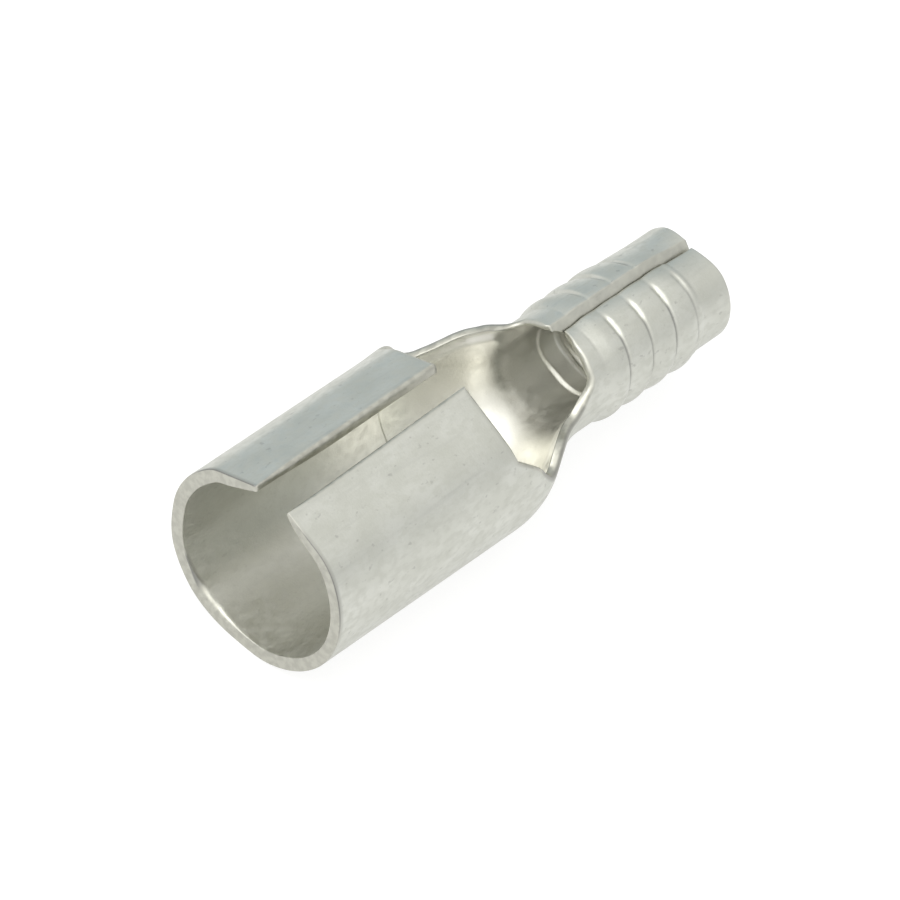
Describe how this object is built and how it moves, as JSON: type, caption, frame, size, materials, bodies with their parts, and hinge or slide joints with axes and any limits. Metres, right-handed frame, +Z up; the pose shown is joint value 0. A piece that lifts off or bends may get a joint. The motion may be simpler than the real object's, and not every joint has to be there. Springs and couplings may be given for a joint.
{
  "type": "round crimp socket connector",
  "caption": "Uninsulated round female crimp terminal: a slotted spring socket for a bullet pin, an open neck and a ribbed wire barrel closed along a lapped seam, all rolled from sheet.",
  "frame": {"origin": "centre of the socket's mouth, on the socket's axis", "axes": "+X from the mouth along the socket's axis towards the wire barrel, +Z up through the open slot, +Y to the left"},
  "size_m": [0.0164, 0.0058, 0.0056],
  "materials": {
    "tinned_brass": "satin tin plate over brass"
  },
  "bodies": {
    "root": {"socket_terminal": "tinned_brass"}
  },
  "joints": []
}
